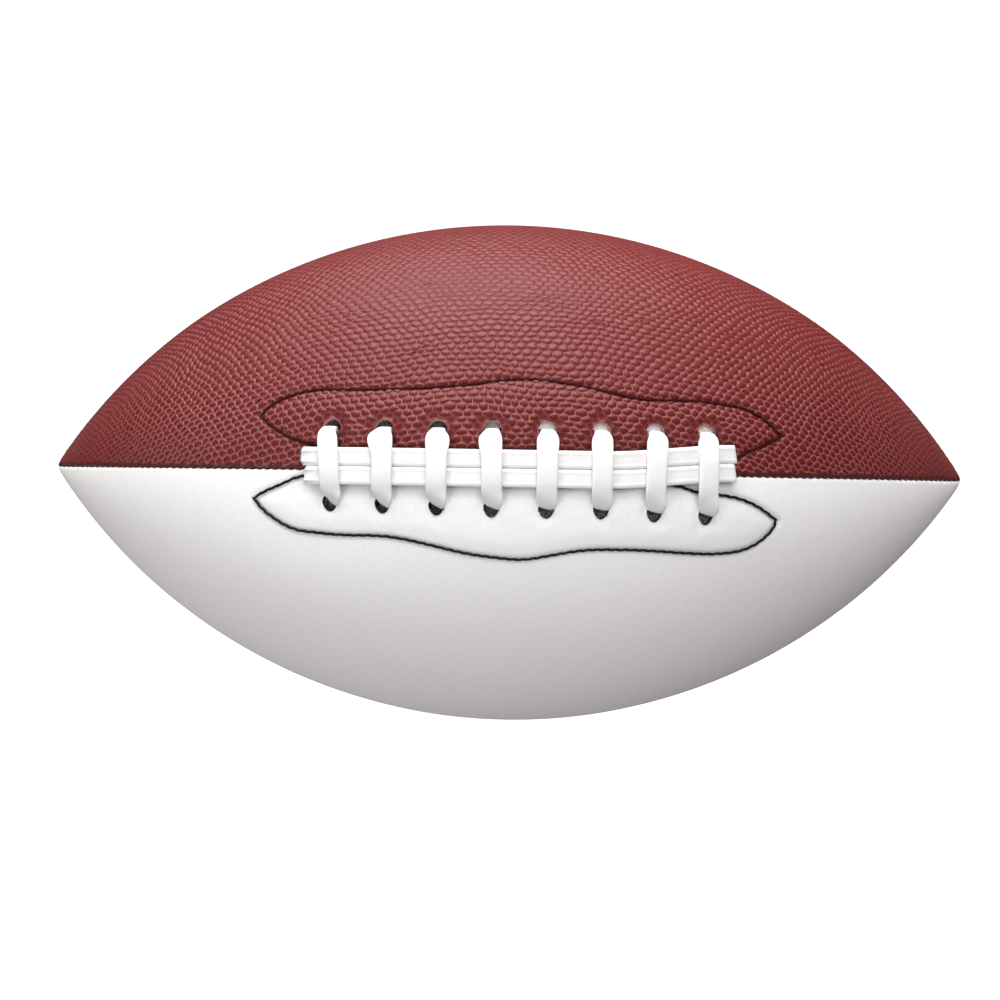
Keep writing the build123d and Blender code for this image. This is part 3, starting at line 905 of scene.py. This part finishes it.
class Finish:
    """A procedural finish: a shader with the nodes that vary it."""

    def __init__(self, name):
        self.material = bpy.data.materials.new(name)
        self.material.use_nodes = True
        self.tree = self.material.node_tree
        self.tree.nodes.clear()
        self.shader = self.tree.nodes.new("ShaderNodeBsdfPrincipled")
        output = self.tree.nodes.new("ShaderNodeOutputMaterial")
        self.tree.links.new(self.shader.outputs[0], output.inputs["Surface"])
        self.place = self.node("ShaderNodeTexCoord", {}, {}, "Object")

    def fill(self, node, sockets):
        """Sets or links a node's sockets."""
        by_name = {socket.identifier: socket for socket in node.inputs}
        for name, value in sockets.items():
            socket = by_name.get(name) or node.inputs[name]
            if isinstance(value, Value):
                self.tree.links.new(value.socket, socket)
            else:
                socket.default_value = value

    def node(self, kind, settings, sockets, output=0):
        """Adds a node with its settings and the values or links of its sockets."""
        node = self.tree.nodes.new(kind)
        for name, value in settings.items():
            setattr(node, name, value)
        self.fill(node, sockets)
        by_name = {socket.identifier: socket for socket in node.outputs}
        return Value(self, by_name.get(output) or node.outputs[output])

    def noise(self, size):
        """Soft random pattern with features of a size."""
        return self.node("ShaderNodeTexNoise", {}, {"Vector": self.place, "Scale": 1 / size})

    def cells(self, size):
        """Distance from the nearest of scattered points that lie a size apart."""
        sockets = {"Vector": self.place, "Scale": 1 / size}
        return self.node("ShaderNodeTexVoronoi", {}, sockets, "Distance")

    def attribute(self, name):
        """A number kept on the piece's points."""
        return self.node("ShaderNodeAttribute", {"attribute_name": name}, {}, "Fac")

    def clamp(self, value, low, high):
        """Maps a range of a value to 0 to 1."""
        sockets = {"Value": value, "From Min": low, "From Max": high}
        return self.node("ShaderNodeMapRange", {"clamp": True}, sockets)

    def mix(self, share, first, second):
        """Mixes two colours."""
        sockets = {"Factor_Float": share, "A_Color": first, "B_Color": second}
        return self.node("ShaderNodeMix", {"data_type": "RGBA"}, sockets, "Result_Color")

    def bump(self, height, distance, strength=1.0):
        """Small relief."""
        sockets = {"Height": height, "Distance": distance, "Strength": strength}
        return self.node("ShaderNodeBump", {}, sockets)

    def set(self, **sockets):
        """Sets the shader's sockets, named with underscores for spaces."""
        self.fill(self.shader, {name.replace("_", " "): value for name, value in sockets.items()})
        return self


def axis_of(finish, axis):
    """One coordinate of the place on the ball."""
    return finish.node("ShaderNodeSeparateXYZ", {}, {"Vector": finish.place}, axis)


def brown_finish(colours):
    """Pebbled leather: dark crowns, valleys with a painted highlight near the front seam, a lighter even
    tone with painted sheen high up, painted shade in creases and grooves, and a dull shine.
    """
    finish = Finish("pebbled_brown")
    pebble = finish.attribute("pebble")
    blotch = finish.noise(blotch_size)
    speck = finish.noise(fine_grain_size)
    crown = finish.clamp(pebble + (blotch - noise_middle) * crown_blotch_share, *crown_band)
    # Near the front seam the valleys carry a painted highlight; high up, crowns and valleys even out to a
    # lighter tone, the painted sheen of the top light
    high = finish.clamp(axis_of(finish, "Z"), pale_foot, pale_top)
    valley = finish.mix(high, colours.rim_highlight_brown, colours.valley_brown)
    top = finish.mix(high, colours.crown_brown, colours.high_brown)
    tone = finish.mix(crown, valley, top)
    tone = finish.mix(finish.clamp(speck, *speck_band) * speck_share, tone, colours.valley_brown)
    # Painted shade in the rolled seams, along the laces and in the stitch grooves
    tone = finish.mix(finish.attribute("crease"), tone, colours.shade_and_fleck_brown)
    tone = finish.mix(finish.attribute("wall"), tone, colours.raw_brown)
    roughness = brown_roughness - crown * crown_polish + (speck - noise_middle) * speck_roughness
    relief = finish.bump(speck, grain_relief)
    return finish.set(Base_Color=tone, Roughness=roughness, Normal=relief, Specular_IOR_Level=brown_shine)


def white_finish(colours):
    """Smooth coated cover with a faint leather grain, and painted shade on the walls of its holes."""
    finish = Finish("smooth_white")
    grain = finish.cells(grain_size)
    speck = finish.noise(fine_grain_size)
    blotch = finish.noise(blotch_size)
    hollow = finish.clamp(grain + (blotch - noise_middle) * hollow_blotch_share, *hollow_band)
    shade = hollow * hollow_share
    tone = finish.mix(shade, colours.cover_white, colours.cover_shade)
    # Painted shade on the walls of the holes
    tone = finish.mix(finish.attribute("wall"), tone, colours.painted_hole_shade)
    relief = finish.bump(grain + speck * cover_speck_share, grain_relief, cover_relief_share)
    roughness = cover_roughness + shade * hollow_roughness
    return finish.set(Base_Color=tone, Roughness=roughness, Normal=relief, Specular_IOR_Level=cover_shine)


def lace_finish(colours):
    """Coated lace with fine lengthwise ribs."""
    finish = Finish("lace_white")
    across = finish.attribute("across")
    fibre = finish.noise(fibre_size)
    wave = finish.node("ShaderNodeMath", {"operation": "SINE"}, {0: across * lace_rib_turns})
    crest = finish.clamp(wave, *lace_hollow_band)
    loose = finish.clamp(fibre, *lace_fibre_band)
    shade = (1 - crest) * lace_hollow_share + loose * lace_fibre_share
    tone = finish.mix(shade, colours.lace_white, colours.lace_shade)
    height = crest * rib_relief_share + fibre * fibre_relief_share
    relief = finish.bump(height, fibre_relief, lace_relief_share)
    roughness = lace_roughness + fibre * fibre_roughness
    return finish.set(Base_Color=tone, Roughness=roughness, Normal=relief, Specular_IOR_Level=lace_shine)


def thread_finish(name, ground, fleck):
    """Waxed thread with a few worn fibres."""
    finish = Finish(name)
    fibre = finish.noise(fibre_size)
    tone = finish.mix(finish.clamp(fibre, *fleck_band), ground, fleck)
    relief = finish.bump(fibre, fibre_relief)
    rough = thread_roughness + fibre * fibre_roughness
    return finish.set(Base_Color=tone, Roughness=rough, Normal=relief, Specular_IOR_Level=thread_shine)


def facing_finish(side, colours, half_length):
    """Speckled backing fabric that gets paler along the ball."""
    finish = Finish(f"facing_{side}")
    weave = finish.cells(weave_size)
    fibre = finish.noise(fibre_size)
    start, end = facing_fade_shares[side]
    pale = finish.clamp(axis_of(finish, "X"), start * half_length, end * half_length)
    speckle = finish.clamp(weave * weave_share + fibre, *speckle_band)
    specks = speckle * (dark_speckle_share + pale * facing_speckle_shares[side])
    share = specks + pale * facing_pale_shares[side]
    tone = finish.mix(share, colours.facing_dark, colours.facing_pale)
    relief = finish.bump(weave + fibre, weave_relief)
    roughness = facing_roughness + fibre * facing_fibre_roughness
    return finish.set(Base_Color=tone, Roughness=roughness, Normal=relief)


def plain_finish(name, base, size, relief_height, roughness):
    """Rubber, foam or felt: one colour broken up by its own grain."""
    finish = Finish(name)
    grain = finish.noise(size)
    dark = tuple(channel * grain_dark_share for channel in base[:3]) + (1,)
    tone = finish.mix(finish.clamp(grain, *grain_band), dark, tuple(base))
    relief = finish.bump(grain, relief_height)
    return finish.set(Base_Color=tone, Roughness=roughness + grain * grain_roughness, Normal=relief)


class FOOTBALL_OT_pebbled_covers(Operator):
    """Makes the two pebbled cover panels of the upper half"""

    bl_idname = "football.pebbled_covers"
    bl_label = "Pebbled Covers"

    def execute(self, context):
        ball = context.scene.football_ball
        lacing = context.scene.football_lacing
        finish = brown_finish(context.scene.football_colours)
        for panel in ("upper_front", "upper_back"):
            skin = CoverSkin(ball, lacing, panel)
            skin.lay_cells(ball.pebble_length / 2, ball.pebble_row)
            skin.make_pebble_outlines()
            skin.wrap()
            if panel == "upper_front":
                for middle in hole_middles(skin.lens, lacing, 1):
                    skin.cut_hole(middle, lacing.hole_radius, 0)
                skin.raise_pebbles()
                skin.shape_front(FrontShape(skin.lens, lacing, 1))
            else:
                skin.cut_hole(skin.lens.place(0, ball.valve_angle, 0), ball.valve_hole_radius, 0)
                skin.raise_pebbles()
            skin.finish(finish, "brown_cover")
        return {"FINISHED"}


class FOOTBALL_OT_smooth_covers(Operator):
    """Makes the two smooth cover panels of the lower half"""

    bl_idname = "football.smooth_covers"
    bl_label = "Smooth Covers"

    def execute(self, context):
        ball = context.scene.football_ball
        lacing = context.scene.football_lacing
        finish = white_finish(context.scene.football_colours)
        for panel in ("lower_front", "lower_back"):
            skin = CoverSkin(ball, lacing, panel)
            skin.lay_cells(ball.smooth_cell, ball.smooth_cell)
            skin.wrap()
            if panel == "lower_front":
                for middle in hole_middles(skin.lens, lacing, -1):
                    skin.cut_hole(middle, lacing.lower_hole_radius, lacing.hole_point)
                skin.shape_front(FrontShape(skin.lens, lacing, -1))
            skin.finish(finish, "white_cover")
        return {"FINISHED"}


class FOOTBALL_OT_facing_stitches(Operator):
    """Sews the two facings with separate stitches along their outlines"""

    bl_idname = "football.facing_stitches"
    bl_label = "Facing Stitches"

    def execute(self, context):
        lens = Lens(context.scene.football_ball)
        lacing = context.scene.football_lacing
        colours = context.scene.football_colours
        finishes = {
            "upper": thread_finish("thread_brown", colours.thread_brown, colours.shade_and_fleck_brown),
            "lower": thread_finish("thread_black", colours.thread_black, colours.thread_fleck),
        }
        for side, way in (("upper", 1), ("lower", -1)):
            bm = bmesh.new()
            points = outline_points(lacing, way)
            ends = spaced_points(points, lacing.stitch_pitch)
            for start, end in zip(ends, ends[1:] + ends[:1]):
                self.add_stitch(bm, lens, lacing, start, end, *stitch_shares[side])
            name = f"facing_stitches_{side}"
            add_piece(name, bm, finishes[side], [f"facing_stitch_{side}"])
        return {"FINISHED"}

    def add_stitch(self, bm, lens, lacing, start, end, sink_share, width_share):
        """Adds one stitch, a bead of thread that dips into the cover at both ends."""
        middle = (start + end) / 2
        depth = sink_share * lacing.stitch_radius
        place = lens.front(middle.x, middle.z, -depth)
        out = lens.normal(place)
        run = lens.front(end.x, end.z, -depth) - lens.front(start.x, start.z, -depth)
        ahead = (run - out * run.dot(out)).normalized()
        side = out.cross(ahead)
        ahead = (ahead + side * stitch_slant_share).normalized()
        side = out.cross(ahead)
        axes = Matrix((side, out, ahead)).transposed().to_4x4()
        half = run.length * stitch_length_share / 2
        radius = lacing.stitch_radius * width_share
        size = Matrix.Diagonal((radius, radius, half, 1))
        matrix = Matrix.Translation(place) @ axes @ size
        rings = {"u_segments": stitch_sides, "v_segments": stitch_rings}
        bmesh.ops.create_uvsphere(bm, radius=1, matrix=matrix, **rings)


class FOOTBALL_OT_long_laces(Operator):
    """Makes the two long laces that lie side by side under the rungs"""

    bl_idname = "football.long_laces"
    bl_label = "Long Laces"

    def execute(self, context):
        lens = Lens(context.scene.football_ball)
        lacing = context.scene.football_lacing
        finish = lace_finish(context.scene.football_colours)
        for side, way in (("upper", 1), ("lower", -1)):
            bm = bmesh.new()
            bm.verts.layers.float.new("across")
            rib_share = lacing.strap_rib_depth / lacing.strap_thickness
            stations = self.stations(lens, lacing, way, strap_cut_shares[side])
            lay_lace(bm, strap_rib_count, rib_share, strap_segments, stations)
            self.fray(bm, lacing, stations[0].translation.x)
            bmesh.ops.recalc_face_normals(bm, faces=bm.faces[:])
            add_piece(f"strap_{side}", bm, finish, [f"long_lace_{side}"])
        return {"FINISHED"}

    def fray(self, bm, lacing, start):
        """Splits the left end into ridges that end unevenly."""
        across = bm.verts.layers.float.get("across")
        for vertex in bm.verts:
            share = 1 - ease(0, lacing.fray_length, vertex.co.x - start)
            wave = cos(2 * pi * fray_count * vertex[across])
            step = cos(2 * pi * fray_step_count * vertex[across])
            vertex.co.y -= lacing.fray_depth * wave * share
            vertex.co.x += lacing.fray_depth * step * share

    def stations(self, lens, lacing, way, cut_share):
        """Places of the section from the left end to the right end."""
        rungs = rung_places(lacing)
        half = lacing.strap_length / 2
        start = lacing.shift - half + cut_share * lacing.strap_width / 2
        end = lacing.shift + half
        places = []
        for number in range(strap_steps + 1):
            along = start + (end - start) * number / strap_steps
            rise = strap_rise(lacing, along)
            apart = min(abs(along - rung) for rung in rungs)
            swell = lacing.strap_swell * ease(lacing.lace_width / 2, lacing.rung_pitch / 2, apart)
            middle = (lacing.strap_gap + lacing.strap_width) / 2
            height = lacing.strap_seat + lacing.strap_thickness / 2 + swell
            inward = ease(0, lacing.strap_thickness, min(along - start, end - along))
            tip = 1 - strap_tip_share * (1 - inward)
            size = Matrix.Diagonal((lacing.strap_width, lacing.strap_thickness * tip, 1, 1))
            size[2][0] = -strap_slant_share * lacing.strap_width * ease(rungs[-1], end, along)
            frame_here = lens.lacing_frame(along, rise) @ Matrix.Translation((0, height, way * middle))
            places.append(frame_here @ strap_turn @ size)
        return places


class FOOTBALL_OT_cross_lace(Operator):
    """Makes the rungs of the lacing and the runs behind the facings that join them"""

    bl_idname = "football.cross_lace"
    bl_label = "Cross Lace"

    def execute(self, context):
        lens = Lens(context.scene.football_ball)
        lacing = context.scene.football_lacing
        finish = lace_finish(context.scene.football_colours)
        bm = bmesh.new()
        bm.verts.layers.float.new("across")
        rungs = rung_places(lacing)
        lengths = [self.rung_stations(lens, lacing, along, number) for number, along in enumerate(rungs)]
        for start, end in zip(rungs, rungs[1:]):
            lengths.append(self.run_stations(lens, lacing, start, end))
        rib_share = lacing.rib_depth / lacing.lace_thickness
        for stations in lengths:
            lay_lace(bm, rung_rib_count, rib_share, rung_segments, stations)
        bmesh.ops.recalc_face_normals(bm, faces=bm.faces[:])
        add_piece("rungs", bm, finish, ["cross_lace"])
        return {"FINISHED"}

    def rung_path(self, lacing, reach):
        """Middle line of a rung as points (up, out); the lower end reaches further outside the facing."""
        foot = Vector((-lacing.leg_spread, -lacing.leg_depth))
        knee = Vector((-lacing.leg_spread, lacing.knee_height))
        shoulder = Vector((-lacing.shoulder_spread, lacing.crest_height - lacing.lace_thickness / 2))
        crest = Vector((0, lacing.crest_height))
        rise = (shoulder + crest) / 2
        rise.y = lacing.crest_height
        low = interpolate_bezier(foot, (foot + knee) / 2, knee, shoulder, leg_steps)
        over = shoulder.lerp(knee, -shoulder_share)
        high = interpolate_bezier(shoulder, over, rise, crest, crest_steps)
        half = low + high[1:]
        behind = lacing.lace_thickness - lacing.leg_depth
        lower = []
        for point in half[:-1]:
            stretch = 1 + reach * ease(behind, -lacing.lace_thickness / 2, point.y)
            lower.append(Vector((point.x * stretch, point.y)))
        return lower + [Vector((-point.x, point.y)) for point in reversed(half)]

    def rung_stations(self, lens, lacing, along, number):
        """Places of the section along one rung."""
        path = self.rung_path(lacing, rung_reach_shares[number])
        home = lens.lacing_frame(along, lacing.rise)
        places = []
        for index, point in enumerate(path):
            before = path[max(index - 1, 0)]
            after = path[min(index + 1, len(path) - 1)]
            ahead = (after - before).normalized()
            up_share = point.x / lacing.leg_spread
            flare = ease(flare_start_share, flare_end_share, up_share)
            left = rung_left_flare_shares[number] * flare
            right = rung_right_flare_shares[number] * flare
            pinch_start = lacing.knee_height + (lacing.lace_thickness / 2 if up_share > 0 else 0)
            pinch = ease(pinch_start, -lacing.lace_thickness, point.y)
            wide = lacing.lace_width * (1 + left + right)
            wide += (lacing.leg_width - wide) * pinch
            slide = (right - left) * lacing.lace_width / 2 * (1 - pinch)
            slide += rung_lean_shares[number] * up_share * lacing.lace_width
            slide -= upright_share * max(point.y, 0) * along / lens.arc_radius
            lower_share = ease(lower_turn_start, 1, -up_share) * rung_turn_shares[number]
            slide += lower_share * lower_slide_share * lacing.lace_width
            normal = Vector((0, ahead.x, -ahead.y))
            run = Vector((0, ahead.y, ahead.x))
            axes = Matrix((Vector((1, 0, 0)), normal, run)).transposed().to_4x4()
            thick = lacing.lace_thickness * (1 + leg_swell_share * pinch)
            size = Matrix.Diagonal((wide, thick, 1, 1))
            twist = Matrix.Rotation(lower_share * lower_turn, 4, "Z")
            places.append(home @ Matrix.Translation((slide, point.y, point.x)) @ axes @ twist @ size)
        return places

    def run_stations(self, lens, lacing, start, end):
        """Places of the section along a run from the top of one rung to the foot of the next."""
        places = []
        top = lens.lacing_frame(start, lacing.rise) @ Vector((0, -lacing.leg_depth, lacing.leg_spread))
        foot = lens.lacing_frame(end, lacing.rise) @ Vector((0, -lacing.leg_depth, -lacing.leg_spread))
        run = (foot - top).normalized()
        for number in range(run_steps + 1):
            point = top.lerp(foot, number / run_steps)
            place = lens.front(point.x, point.z, -lacing.leg_depth)
            out = lens.normal(place)
            side = out.cross(run).normalized()
            axes = Matrix((side, out, side.cross(out))).transposed().to_4x4()
            size = Matrix.Diagonal((lacing.leg_width, lacing.lace_thickness, 1, 1))
            places.append(Matrix.Translation(place) @ axes @ size)
        return places


class FOOTBALL_OT_inner_finishes(Operator):
    """Gives the solids that show as they are their finishes"""

    bl_idname = "football.inner_finishes"
    bl_label = "Inner Finishes"

    def execute(self, context):
        colours = context.scene.football_colours
        half = context.scene.football_lacing.facing_half_length
        black = colours.bladder_black
        plain = {
            "bladder": ("bladder_rubber", black, weave_size, grain_relief, bladder_roughness),
            "valve_body": ("valve_rubber", black, grain_size, grain_relief, valve_roughness),
            "valve_plug": ("plug_rubber", colours.plug_rubber, grain_size, grain_relief, valve_roughness),
            "lining_": ("foam_lining", colours.foam_cream, weave_size, weave_relief, soft_roughness),
            "lace_tongue": ("tongue_felt", colours.tongue_grey, fibre_size, weave_relief, soft_roughness),
            "seam_thread_": ("seam_thread", colours.seam_grey, fibre_size, fibre_relief, seam_roughness),
        }
        finishes = {start: plain_finish(*look) for start, look in plain.items()}
        for side in ("upper", "lower"):
            finishes[f"lace_facing_{side}"] = facing_finish(side, colours, half)
        for name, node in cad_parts.items():
            for start, finish in finishes.items():
                if name.startswith(start):
                    for slot in node.material_slots:
                        slot.material = finish.material
        return {"FINISHED"}


class FOOTBALL_OT_stage(Operator):
    """Makes the floor, backdrop, lights and camera"""

    bl_idname = "football.stage"
    bl_label = "Stage"

    def execute(self, context):
        scene = context.scene
        stage = scene.football_stage
        self.add_floor(scene, -scene.football_ball.radius)
        self.add_light("top_light", stage.top_power, top_light_size, top_light_place)
        front = self.add_light("front_light", stage.front_power, front_light_size, front_light_place)
        front.visible_glossy = False
        self.add_light("fill_light", stage.fill_power, fill_light_size, fill_light_place)
        back = self.add_light("back_light", stage.back_power, back_light_size, back_light_place)
        back.visible_glossy = False
        world = bpy.data.worlds.new("studio")
        world.use_nodes = True
        world.node_tree.nodes["Background"].inputs["Color"].default_value = ambient_tint
        world.node_tree.nodes["Background"].inputs["Strength"].default_value = stage.ambient
        scene.world = world
        scene.view_settings.view_transform = "Standard"
        camera = bpy.data.cameras.new("photo_camera")
        camera.sensor_width = sensor_width
        camera.sensor_fit = "HORIZONTAL"
        camera.lens = sensor_width * stage.camera_distance / stage.view_width
        eye = bpy.data.objects.new("photo_camera", camera)
        place = Matrix.Translation((stage.view_shift, -stage.camera_distance, stage.view_drop))
        level = Matrix.Rotation(pi / 2, 4, "X")
        eye.matrix_world = place @ level @ Matrix.Rotation(-stage.view_roll, 4, "Z")
        scene.collection.objects.link(eye)
        scene.camera = eye
        return {"FINISHED"}

    def add_floor(self, scene, height):
        """A pale floor with a backdrop all round it, bright enough to hide its own shadows."""
        bm = bmesh.new()
        bmesh.ops.create_circle(bm, cap_ends=True, segments=floor_segments, radius=floor_radius)
        bmesh.ops.translate(bm, vec=(0, 0, height), verts=bm.verts[:])
        rim = grow(bm, [edge for edge in bm.edges if edge.is_boundary])[0]
        bmesh.ops.translate(bm, vec=(0, 0, backdrop_height), verts=rim)
        mesh = bpy.data.meshes.new("floor")
        bm.to_mesh(mesh)
        bm.free()
        finish = Finish("pale_floor")
        patch = finish.noise(floor_radius)
        finish.set(
            Base_Color=finish.mix(patch, floor_pale, floor_white),
            Roughness=floor_roughness,
            Emission_Color=floor_white,
            Emission_Strength=floor_glow,
        )
        mesh.materials.append(finish.material)
        floor = bpy.data.objects.new("floor", mesh)
        floor.visible_diffuse = False
        floor.visible_glossy = False
        floor.visible_shadow = False
        scene.collection.objects.link(floor)

    def add_light(self, name, energy, size, place):
        """A soft square light that faces the ball."""
        light = bpy.data.lights.new(name, "AREA")
        light.energy = energy
        light.size = size
        holder = bpy.data.objects.new(name, light)
        facing = Vector(place).to_track_quat("Z", "Y").to_matrix().to_4x4()
        holder.matrix_world = Matrix.Translation(place) @ facing
        bpy.context.scene.collection.objects.link(holder)
        return holder


class FOOTBALL_PT_panel(Panel):
    """Lists the steps that dress the football"""

    bl_idname = "FOOTBALL_PT_panel"
    bl_label = "Football"
    bl_space_type = "VIEW_3D"
    bl_region_type = "UI"
    bl_category = "Football"

    def draw(self, context):
        for operator in operators:
            self.layout.operator(operator.bl_idname)


groups = {
    "football_ball": BallSizes,
    "football_lacing": LacingSizes,
    "football_colours": FinishColours,
    "football_stage": StageSettings,
}
operators = (
    FOOTBALL_OT_stage,
    FOOTBALL_OT_inner_finishes,
    FOOTBALL_OT_pebbled_covers,
    FOOTBALL_OT_smooth_covers,
    FOOTBALL_OT_facing_stitches,
    FOOTBALL_OT_long_laces,
    FOOTBALL_OT_cross_lace,
)
classes = (*groups.values(), *operators, FOOTBALL_PT_panel)


def register():
    """Adds the classes and the scene's groups of settings."""
    for item in classes:
        bpy.utils.register_class(item)
    for name, group in groups.items():
        setattr(bpy.types.Scene, name, PointerProperty(type=group))


def unregister():
    """Takes the groups and the classes away again."""
    for name in groups:
        delattr(bpy.types.Scene, name)
    for item in reversed(classes):
        bpy.utils.unregister_class(item)


def main():
    """Dresses the football."""
    register()
    bpy.ops.football.stage()
    bpy.ops.football.inner_finishes()
    bpy.ops.football.pebbled_covers()
    bpy.ops.football.smooth_covers()
    bpy.ops.football.facing_stitches()
    bpy.ops.football.long_laces()
    bpy.ops.football.cross_lace()


if __name__ == "__main__":
    main()
